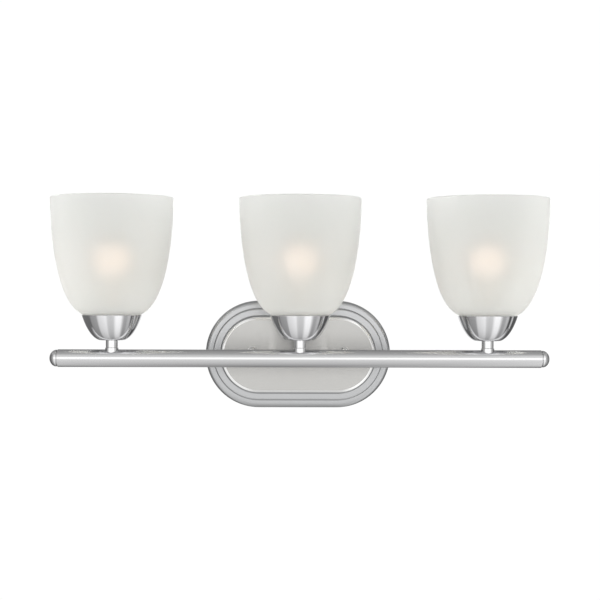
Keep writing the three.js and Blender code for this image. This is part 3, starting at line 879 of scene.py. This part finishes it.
# ---- Arms, bar and end caps ----
def make_arms():
    root, pitch = TUBE_THREAD["root"], TUBE_THREAD["pitch"]
    base, low, high = PLATE_FRONT + 0.2, 16.0, 97.0
    cut_thread = threaded(**TUBE_THREAD, low=low + 0.3, high=base)

    def shape(radius, z, a):
        if z > 85 and radius > 4.9:
            return radius, REACH - saddle(radius, a)
        return cut_thread(radius, z, a)

    for name, side in SIDES:
        rows = [(root, z) for z in steps_between(low + 0.3, base - 0.1, pitch / 8)]
        profile = [(3.7, high), (3.7, low), (root - 0.2, low), *rows, (root, base)]
        profile += rounded([(root, base), (6.35, base, 0.4), (6.35, 60)])[1:]
        profile += [(6.35, 88), (6.35, 90), (4.95, 90), (4.8, 90), (4.8, high)]
        at = (side * ARM_X, 0, 0)
        arm = turned(f"arm_{name}_sleeve", profile, arm_nickel, at, 96, "-Y", shape)
        stands_for(arm, f"arm_{name}")
        behind = PLATE_FRONT - PLATE_SHEET - NUT_GAP - NUT_THICK
        hex_nut(f"arm_plate_nut_{name}", WIDE_NUT_FLATS, behind, at)
        hex_nut(f"arm_bar_nut_{name}", NUT_FLATS, REACH - NUT_SEAT, at)


make_arms()


def make_bar():
    low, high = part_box("bar_tube")
    end = (high.x - low.x) / 2 / MM
    inner = BAR_BORE
    stops = [-end + 0.6]
    for x in sorted([middle(f"stem_{s}").x for s in STATIONS] + [side * ARM_X for _, side in SIDES]):
        stops += [x - 6.8, x + 6.8]
    stops.append(end - 0.6)
    ends = rounded([(inner, -end), (BAR_RADIUS, -end, 0.45), (BAR_RADIUS, -end + 2)])[:-1]
    ends += [(BAR_RADIUS, x) for x in stops]
    ends += rounded([(BAR_RADIUS, end - 2), (BAR_RADIUS, end, 0.45), (inner, end)])[1:]
    ends += [(inner, x) for x in reversed(stops)]
    bar = turned("bar_tube_wall", ends, bar_nickel, (0, -REACH, 0), 128, "X")
    for s in STATIONS:
        hole = [(0, 0), (TUBE_HOLE, 0), (TUBE_HOLE, 12), (0, 12)]
        cut_away(bar, turned("hole", hole, zinc, (middle(f"stem_{s}").x, -REACH, 0), 48))
    for _, side in SIDES:
        hole = [(0, -12), (TUBE_HOLE, -12), (TUBE_HOLE, 0), (0, 0)]
        cut_away(bar, turned("hole", hole, zinc, (side * ARM_X, -REACH, 0), 48, "-Y"))
    stands_for(bar, "bar_tube")
    plug = inner - 0.15
    cap = rounded([(0, -9), (plug, -9, 0.5), (plug, 0.05), (8.3, 0.05), (8.3, 0.75)])
    cap += [(8.75, 0.75), (9.1, 0.95)]
    cap += arc((0, 1.3), 9.2, 0, 90, 24, squash=7.7 / 9.2)
    for name, side in SIDES:
        axis = "X" if side > 0 else "-X"
        made = turned(f"end_cap_{name}_dome", cap, bar_nickel, (side * end, -REACH, 0), 96, axis)
        stands_for(made, f"end_cap_{name}")


make_bar()


# ---- Lamp stations ----
def make_stem(s, at):
    root, pitch = TUBE_THREAD["root"], TUBE_THREAD["pitch"]
    top, high = 19.8, 25.9
    cut_thread = threaded(**TUBE_THREAD, low=top, high=high - 0.3)

    def shape(radius, z, a):
        if radius > 4.9 and z < 9:
            return radius, saddle(radius, a)
        return cut_thread(radius, z, a)

    rows = [(root, z) for z in steps_between(top + 0.1, high - 0.3, pitch / 8)]
    profile = [(3.3, high), (3.3, 2.6), (4.8, 2.6), (4.8, 8), (4.95, 8), (7.3, 8)]
    profile += rounded([(7.3, 10), (7.3, 11.5, 0.5), (6.6, 11.9, 0.3), (6.6, 15)])[1:-1]
    profile += rounded([(6.6, 15), (6.6, top, 0.35), (root, top)])[1:]
    profile += rows + [(root - 0.3, high)]
    stands_for(turned(f"stem_{s}_post", profile, polished, at, 96, shape=shape), f"stem_{s}")
    hex_nut(f"stem_bar_nut_{s}", NUT_FLATS, NUT_SEAT - NUT_THICK, at, "Z")


def make_cup(s, at):
    curve = ((14.8, 20), (26.5, 24.9), (32.4, 45.8), (32.8, 47.05))
    outside = bezier(*curve, 40)
    inside = bezier(*curve, 40, offset=-0.9)[::-1]
    rim = arc((32.35, 47.05), 0.45, 0, 180, 8)
    profile = [(TUBE_HOLE, 20), (13.4, 20), *outside, *rim[1:-1]]
    profile += [*inside[:-1], (13.6, 20.9), (TUBE_HOLE, 20.9)]
    stands_for(turned(f"cup_{s}_spun", profile, cup_nickel, at, 128), f"cup_{s}")
    hex_nut(f"cup_locknut_{s}", NUT_FLATS, 21.0, at, "Z")


SOCKET_PITCH = 2.0
LAMP_PITCH = 3.629


def make_socket(s, at):
    root, crest = 18.85, 19.5
    cut_low, cut_high = 32.0, 57.2
    rows = [(root, z) for z in steps_between(cut_low, cut_high, SOCKET_PITCH / 10)]
    outside = rounded([
        (TUBE_HOLE, 23.8), (12.5, 23.8, 0.5), (12.5, 27.6, 0.4), (root, 30.6, 0.8), (root, 32),
    ])[:-1]
    lip = rounded([(root, 57.4), (root, 58.5, 0.5), (14.7, 58.5, 0.5), (14.7, 40)])
    inside = [(14.7, 29.4), (2, 29.4), (2, 27.6), (10, 27.6), (10, 25.4), (TUBE_HOLE, 25.4)]
    body = turned(f"socket_body_{s}_glazed", outside + rows + lip[1:] + inside, porcelain, at, 96,
                  shape=threaded(root, crest, SOCKET_PITCH, cut_low, cut_high))
    rivet_hole = [(0, 26), (1.6, 26), (1.6, 31), (0, 31)]
    hole = turned("hole", rivet_hole, porcelain, (at[0] - 5.5, at[1], at[2]), 32)
    stands_for(cut_away(body, hole), f"socket_body_{s}")

    low, high, gauge, valley = 29.6, 54.0, 0.45, 12.75
    rise = steps_between(low + 1.4, high - 0.4, LAMP_PITCH / 12)
    outer = [(valley + gauge, z) for z in rise]
    inner = [(valley, z) for z in reversed(rise)]

    def rolled(radius, z, a):
        if not rise[0] <= z <= rise[-1] or radius < valley - 1e-6:
            return radius, z
        fade = max(0, min(1, (z - rise[0]) / 2, (rise[-1] - z) / 2))
        return radius + 0.45 + (0.9 * thread_wave(z / LAMP_PITCH - a / TAU) - 0.45) * fade, z

    profile = rounded([(9.5, low), (valley + gauge + 0.3, low, 0.9), (valley + gauge, rise[0])])[:-1]
    profile += outer + [(valley + gauge + 0.5, high), (valley + 0.5, high)] + inner
    profile += rounded([(valley, rise[0]), (valley - 0.1, low + gauge, 0.5), (9.5, low + gauge)])[1:]
    shell = turned(f"socket_shell_{s}_rolled", profile, brass, at, 96, shape=rolled)
    stands_for(shell, f"socket_shell_{s}")

    leaf = [(-7.5, 29.6), (-3.5, 29.6), (-1.2, 30.9), (0.6, 31.05), (2.5, 30.7)]
    verts, faces = [], []
    for x, z in leaf:
        for y in (-2.3, 2.3):
            verts += [(x, y, z), (x, y, z + 0.5)]
    for i in range(len(leaf) - 1):
        a, b = 4 * i, 4 * i + 4
        for p, q in ((0, 1), (1, 3), (3, 2), (2, 0)):
            faces.append([a + p, a + q, b + q, b + p])
    faces += [[0, 2, 3, 1], [len(verts) - 4 + k for k in (0, 1, 3, 2)]]
    contact = add_object(f"socket_contact_{s}_leaf", verts, faces, brass, at, 30)
    edge = contact.modifiers.new("edge", "BEVEL")
    edge.width = 0.00012
    edge.segments = 2
    stands_for(contact, f"socket_contact_{s}")
    rivet = [(0, 27.0), (1.4, 27.0), (1.4, 30.1), (2.1, 30.1), *arc((0, 30.1), 2.1, 12, 90, 8, squash=0.35)]
    head = turned(f"socket_rivet_{s}", rivet, brass, (at[0] - 5.5, at[1], at[2]), 32)
    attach(head, "fixture")


def make_shade(s, at):
    curve = ((32.9, 48.3), (67.0, 65.9), (66.9, 171.9), (67.1, 174.2))
    outside = bezier(*curve, 64)
    inside = bezier(*curve, 64, offset=-3.0)[::-1]
    lip = arc((65.6, 174.2), 1.5, 0, 180, 10)
    foot = rounded([
        (21.3, 49.9, 0.5), (21.3, 47.1, 0.5), (30.2, 47.1, 0.5), (31.5, 47.8, 0.8), outside[0], outside[4],
    ])
    profile = foot[:-2] + outside + lip[1:-1] + inside[:-2] + [(28.6, 49.9)]
    shade = turned(f"shade_{s}_bell", profile, glass, at, 160)
    stands_for(shade, f"shade_{s}")


def make_ring(s, at):
    low = 50.0
    gasket = rounded([(19.9, low, 0.3), (27, low, 0.4), (27, low + 1.2, 0.4), (19.9, low + 1.2, 0.3)])
    stands_for(turned(f"ring_gasket_{s}_disc", gasket, fibre, at, 96), f"ring_gasket_{s}")
    low += 1.3
    root = 19.1
    rows = [(root, z) for z in reversed(steps_between(low + 0.3, low + 4.7, SOCKET_PITCH / 10))]

    def fluted(radius, z, a):
        if radius > 22 and radius < 22.5 and z > low + 2:
            return radius - 0.35 * thread_wave(a / TAU * 36) ** 2, z
        if abs(radius - root) < 1e-6:
            return radius + 0.65 * thread_wave(z / SOCKET_PITCH - a / TAU), z
        return radius, z

    outside = rounded([
        (root + 0.6, low), (27, low, 0.4), (27, low + 1.5, 0.5), (22.4, low + 1.5, 0.5), (22.4, low + 3),
    ])
    wall = [(22.4, low + 2.2), (22.4, low + 4.5), (22.0, low + 5), (root + 0.6, low + 5)]
    ring = turned(f"retaining_ring_{s}_fluted", outside[:-1] + wall + rows, zinc, at, 144, shape=fluted)
    stands_for(ring, f"retaining_ring_{s}")


def make_lamp(s, at):
    root, crest = 12.2, 13.1
    cut_low, cut_high = 36.6, 54.2
    rows = [(root, z) for z in steps_between(cut_low, cut_high, LAMP_PITCH / 12)]
    shell = [(9.6, 34.3), *rounded([(9.6, 34.0), (12.0, 35.4, 0.6), (root, 36.6)])[1:-1], *rows]
    shell += rounded([(root, 54.6), (13.0, 55.2, 0.3), (13.1, 56.0, 0.2), (12.0, 56.0)])[1:]
    shell += [(9.6, 56)]
    cap = turned(f"lamp_cap_{s}_screw", shell, brass, at, 96,
                 shape=threaded(root, crest, LAMP_PITCH, cut_low, cut_high))
    stands_for(cap, f"lamp_cap_{s}")
    insulator = [(0, 32.2), (4.6, 32.2), (5.2, 32.6), (9.0, 34.0), (9.55, 34.4), (9.55, 36), (0, 36)]
    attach(turned(f"lamp_insulator_{s}", insulator, black_glass, at, 64), f"cap_{s}")
    button = [(0, 31.7), (3.4, 31.75), (4.2, 32.1), (4.2, 33), (0, 33)]
    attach(turned(f"lamp_contact_{s}", button, brass, at, 48), f"cap_{s}")
    neck = bezier((13.6, 56.2), (15.6, 78), (30, 83), (30, 109), 28)
    outside = [*neck, *arc((0, 109), 30, 0, 90, 28)[1:]]
    inside = [(max(r - 0.8, 0), z) for r, z in outside[:-1]] + [(0, 138.2)]
    globe = [*inside[::-1], *outside]
    stands_for(turned(f"lamp_globe_{s}_bulb", globe, bulb, at, 96), f"lamp_globe_{s}")
    stalk = bezier((2.6, 52), (2.6, 80), (9, 84), (15.3, 97), 12)
    seed = [(0, 52), *stalk, *arc((0, 108), 19, -32, 90, 16)[1:]]
    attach(turned(f"lamp_capsule_{s}", seed, capsule, at, 48), f"cap_{s}")


for station in STATIONS:
    spot = (middle(f"cup_{station}").x, -REACH, middle("bar_tube").z)
    make_stem(station, spot)
    make_cup(station, spot)
    make_socket(station, spot)
    make_shade(station, spot)
    make_ring(station, spot)
    make_lamp(station, spot)


# ---- Wiring inside ----
IN_BAR = -REACH - 1
LAMP_X = middle("cup_right").x
LEADS = {
    "left": {
        "sleeve": [
            (-LAMP_X, -100, 27), (-LAMP_X, -100, 18), (-LAMP_X, -100, 7),
            (-LAMP_X + 0.6, -100, 2.4), (-LAMP_X + 3, -100.5, -0.6), (-LAMP_X + 8, IN_BAR, -1.5),
            (-120, IN_BAR, -1.5), (-45, IN_BAR, -0.5), (-34.5, IN_BAR, 1.6),
            (-31.2, -99.6, 1.75), (-30, -96, 1.75), (-30, -60, 1.75), (-30, -16, 1.75),
            (-29.8, -11, 1.4), (-28.4, -7.6, -1), (-25.6, -6.2, -4.6),
        ],
        "line": [(-25.6, -6.2, -4.6), (-21, -6.2, -6.6), (-17, -7, -9), (-15, -7.9, -14)],
        "neutral": [
            (-25.6, -6.2, -4.6), (-16, -5.6, -4.4), (0, -5.6, -4), (10.5, -6.2, -6.5), (15, -7.9, -14),
        ],
    },
    "center": {
        "sleeve": [
            (0, -100, 27), (0, -100, 18), (0, -100, 7), (-0.6, -100, 2.4), (-3, -100.5, -0.6),
            (-8, IN_BAR, -1.7), (-18, IN_BAR, -1.75), (-25.5, IN_BAR, -1.75), (-28.8, -99.6, -1.75),
            (-30, -96, -1.75), (-30, -60, -1.75), (-30, -16, -1.75), (-29, -12.6, -2.6), (-25.6, -11, -5.2),
        ],
        "line": [(-25.6, -11, -5.2), (-20.5, -11, -7.4), (-16.6, -10.6, -10), (-15, -10, -14)],
        "neutral": [(-25.6, -11, -5.2), (-15, -11, -5.6), (0, -11, -5), (11, -10.6, -7.5), (15, -10, -14)],
    },
    "right": {
        "sleeve": [
            (LAMP_X, -100, 27), (LAMP_X, -100, 18), (LAMP_X, -100, 7),
            (LAMP_X - 0.6, -100, 2.4), (LAMP_X - 3, -100.5, -0.6), (LAMP_X - 8, IN_BAR, -1.5),
            (120, IN_BAR, -1.5), (45, IN_BAR, -0.6), (34.5, IN_BAR, 0),
            (31.2, -99.6, 0), (30, -96, 0), (30, -60, 0), (30, -16, 0),
            (29.8, -13.6, -0.6), (28.8, -12.8, -3), (26.8, -12.8, -5.6),
        ],
        "line": [
            (26.8, -12.8, -5.6), (15, -14.2, -5), (0, -14.6, -4.6), (-10.5, -13.8, -7), (-15, -12.1, -14),
        ],
        "neutral": [(26.8, -12.8, -5.6), (21, -13.4, -8), (17, -12.8, -10.4), (15, -12.1, -14)],
    },
}


def make_wiring():
    for name, lead in LEADS.items():
        stands_for(tube_along(f"lead_{name}_sleeve", lead["sleeve"], 1.5, weave), f"lead_{name}")
        for core, jacket in (("line", black_jacket), ("neutral", white_jacket)):
            route = lead[core] + [(*lead[core][-1][:2], -22)]
            wire = tube_along(f"lead_{name}_{core}_core", route, 0.85, jacket)
            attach(wire, "fixture")

    def ribbed(radius, z, a):
        return (radius + 0.3 * abs(math.cos(10 * a)) if radius > 4.5 and z < -16.5 else radius), z

    outside = rounded([
        (0, -36), (3.4, -36, 1.2), (5.2, -17.5), (5.6, -16, 0.2), (5.7, -14, 0.3), (4.4, -14, 0.3), (3, -30),
    ])
    for name, side in (("line", -1), ("neutral", 1)):
        rows = [(3.9 + 0.07 * k, -33.2 + 0.85 * k) for k in range(19)]
        profile = outside[:6] + rows + outside[7:] + [(0, -30)]
        cap = turned(f"wire_connector_{name}_twist", profile, orange, (side * 15, -10, 0), 120, shape=ribbed)
        stands_for(cap, f"wire_connector_{name}")


make_wiring()


# ---- Floor ----
def make_floor():
    made, g, shader = material("pale_floor")
    coords = g.node("ShaderNodeTexCoord").outputs["Object"]
    cloud = g.noise(coords, 3.0, 3.0, 0.5)
    g.link(g.mix(cloud, (0.90, 0.90, 0.895), (0.92, 0.92, 0.915)), shader.inputs["Base Color"])
    shader.inputs["Emission Color"].default_value = (1, 1, 1, 1)
    shader.inputs["Emission Strength"].default_value = 0.22
    g.link(g.span(cloud, 0.3, 0.7, 0.55, 0.65), shader.inputs["Roughness"])
    mesh = bpy.data.meshes.new("floor")
    mesh.from_pydata([(-6, -6, -1), (6, -6, -1), (6, 2.9, -1), (-6, 2.9, -1)], [], [[0, 1, 2, 3]])
    mesh.materials.append(made)
    floor = bpy.data.objects.new("floor", mesh)
    floor.visible_glossy = False
    floor.visible_diffuse = False
    floor.visible_transmission = False
    scene.collection.objects.link(floor)


make_floor()
